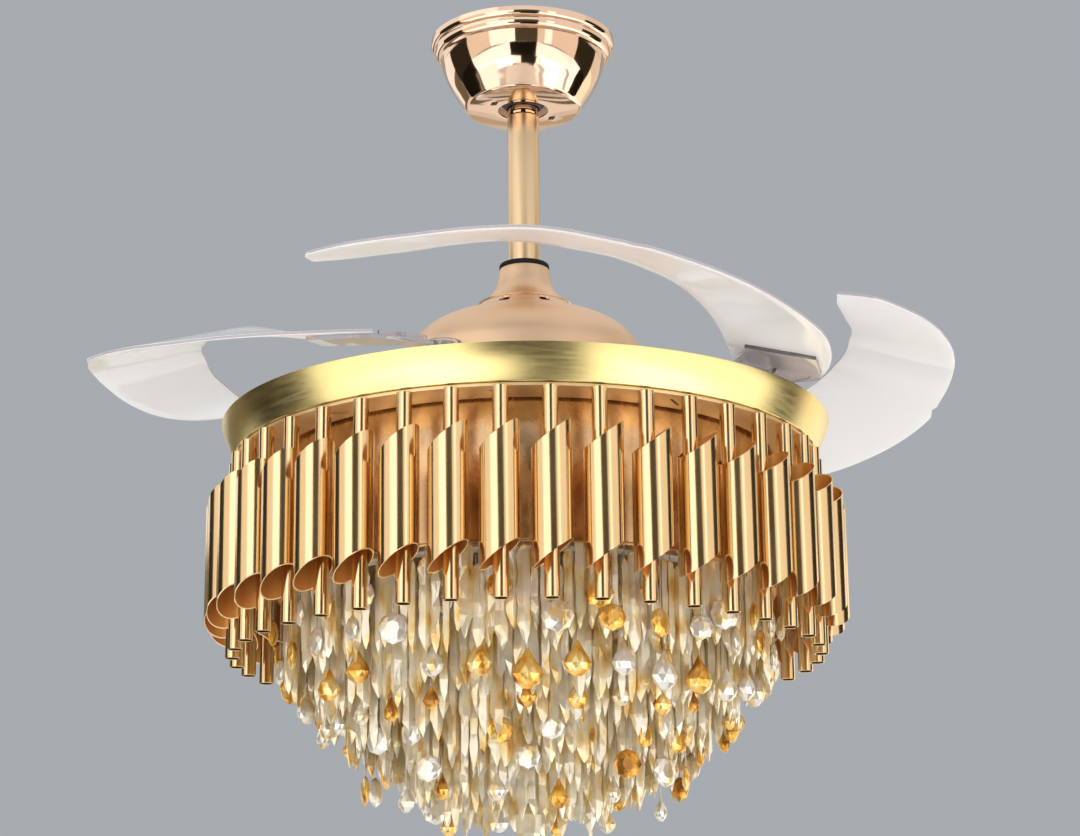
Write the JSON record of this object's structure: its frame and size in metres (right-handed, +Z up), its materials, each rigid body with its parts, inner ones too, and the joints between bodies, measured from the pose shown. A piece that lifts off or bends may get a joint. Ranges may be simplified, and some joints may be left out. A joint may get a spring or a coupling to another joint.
{
  "type": "chandelier ceiling fan",
  "caption": "Ceiling fan and chandelier in one: clear blades that fold in over a gold lamp body hung with slant-cut tubes and stepped rows of crystals, on a short rod under a round canopy",
  "frame": {"origin": "Centre of the hanger bracket's top face, which lies against the ceiling, on the fan's own axis", "axes": "+Z points up into the ceiling along the fan's axis, +X points to the right as seen in the picture, +Y points away from the viewer"},
  "size_m": [0.7164, 0.7164, 0.6979],
  "materials": {
    "polished_rose_gold": "polished rose gold plate",
    "satin_peach": "satin rose gold lacquer",
    "satin_gold": "satin champagne gold",
    "brushed_gold": "fine brushed gold",
    "tube_gold": "polished gold plate",
    "mirror_rose": "rose gold mirror",
    "zinc_steel": "zinc plated steel",
    "black_steel": "black painted steel",
    "clear_acrylic": "clear acrylic, faintly pink",
    "crystal": "clear cut glass, faintly amber",
    "black_rubber": "matte black rubber",
    "white_nylon": "natural nylon",
    "black_plastic": "black moulded plastic",
    "ferrite": "dark ferrite",
    "wound_copper": "laminations wound with enamelled copper",
    "led_board": "white circuit board"
  },
  "bodies": {
    "ceiling": {"hanger_bracket": "zinc_steel", "canopy": "polished_rose_gold", "canopy_screw_1": "black_steel", "canopy_screw_2": "black_steel", "remote_receiver": "black_plastic"},
    "liner": {"swivel_liner": "white_nylon"},
    "pendant": {"hanger_ball": "black_plastic", "ball_pin": "zinc_steel", "downrod": "satin_gold", "motor_coupling": "zinc_steel", "rod_pin": "zinc_steel", "shaft_pin": "zinc_steel", "rubber_ring": "black_rubber", "coupling_cover": "satin_peach", "motor_shaft": "zinc_steel", "stator": "wound_copper", "lamp_flange": "zinc_steel", "lamp_top_plate": "satin_gold", "gold_band": "brushed_gold", "led_driver": "black_plastic", "lamp_bottom_plate": "mirror_rose", "tube_ring": "tube_gold", "inner_drum": "mirror_rose", "crystal_plate": "mirror_rose", "centre_rod": "zinc_steel", "rod_nut": "zinc_steel", "led_ring_outer": "led_board", "led_ring_inner": "led_board", "crystal_row_1": "crystal", "crystal_row_2": "crystal", "crystal_row_3": "crystal", "crystal_row_4": "crystal", "crystal_row_5": "crystal", "crystal_row_6": "crystal", "finial_crystal": "crystal"},
    "rotor": {"rotor_disc": "zinc_steel", "motor_bell_lower": "black_steel", "motor_bell_upper": "black_steel", "lower_bearing": "zinc_steel", "upper_bearing": "zinc_steel", "magnet_ring": "ferrite", "motor_cover": "satin_peach", "pivot_pin_1": "zinc_steel", "pivot_pin_2": "zinc_steel", "pivot_pin_3": "zinc_steel", "pivot_pin_4": "zinc_steel", "blade_spring_1": "zinc_steel", "blade_spring_2": "zinc_steel", "blade_spring_3": "zinc_steel", "blade_spring_4": "zinc_steel"},
    "sync_ring": {"sync_ring": "white_nylon"},
    "folding_blade_1": {"blade_1": "clear_acrylic", "blade_bracket_1": "clear_acrylic"},
    "folding_blade_2": {"blade_2": "clear_acrylic", "blade_bracket_2": "clear_acrylic"},
    "folding_blade_3": {"blade_3": "clear_acrylic", "blade_bracket_3": "clear_acrylic"},
    "folding_blade_4": {"blade_4": "clear_acrylic", "blade_bracket_4": "clear_acrylic"}
  },
  "joints": [
    {"name": "hanger_tilt_x", "type": "hinge", "parent": "ceiling", "child": "liner", "pos_m": [0, 0, -0.045], "axis": [1, 0, 0], "range_deg": [-15, 15]},
    {"name": "hanger_tilt_y", "type": "hinge", "parent": "liner", "child": "pendant", "pos_m": [0, 0, -0.045], "axis": [0, 1, 0], "range_deg": [-15, 15]},
    {"name": "rotor_spin", "type": "hinge", "parent": "pendant", "child": "rotor", "pos_m": [0, 0, -0.3155], "axis": [0, 0, 1], "continuous": true},
    {"name": "sync_ring_turn", "type": "hinge", "parent": "rotor", "child": "sync_ring", "pos_m": [0, 0, -0.3382], "axis": [0, 0, 1], "range_deg": [-16.4, 8.1]},
    {"name": "blade_1_pivot", "type": "hinge", "parent": "rotor", "child": "folding_blade_1", "pos_m": [-0.06217, -0.17954, -0.333], "axis": [0, 0, 1], "range_deg": [-41, 85]},
    {"name": "blade_2_pivot", "type": "hinge", "parent": "rotor", "child": "folding_blade_2", "pos_m": [0.17954, -0.06217, -0.333], "axis": [0, 0, 1], "range_deg": [-41, 85]},
    {"name": "blade_3_pivot", "type": "hinge", "parent": "rotor", "child": "folding_blade_3", "pos_m": [0.06217, 0.17954, -0.333], "axis": [0, 0, 1], "range_deg": [-41, 85]},
    {"name": "blade_4_pivot", "type": "hinge", "parent": "rotor", "child": "folding_blade_4", "pos_m": [-0.17954, 0.06217, -0.333], "axis": [0, 0, 1], "range_deg": [-41, 85]}
  ],
  "couplings": [
    {"joint": "blade_2_pivot", "follows": "blade_1_pivot", "ratio": 1},
    {"joint": "blade_3_pivot", "follows": "blade_1_pivot", "ratio": 1},
    {"joint": "blade_4_pivot", "follows": "blade_1_pivot", "ratio": 1},
    {"joint": "sync_ring_turn", "follows": "blade_1_pivot", "ratio": -0.1875}
  ]
}
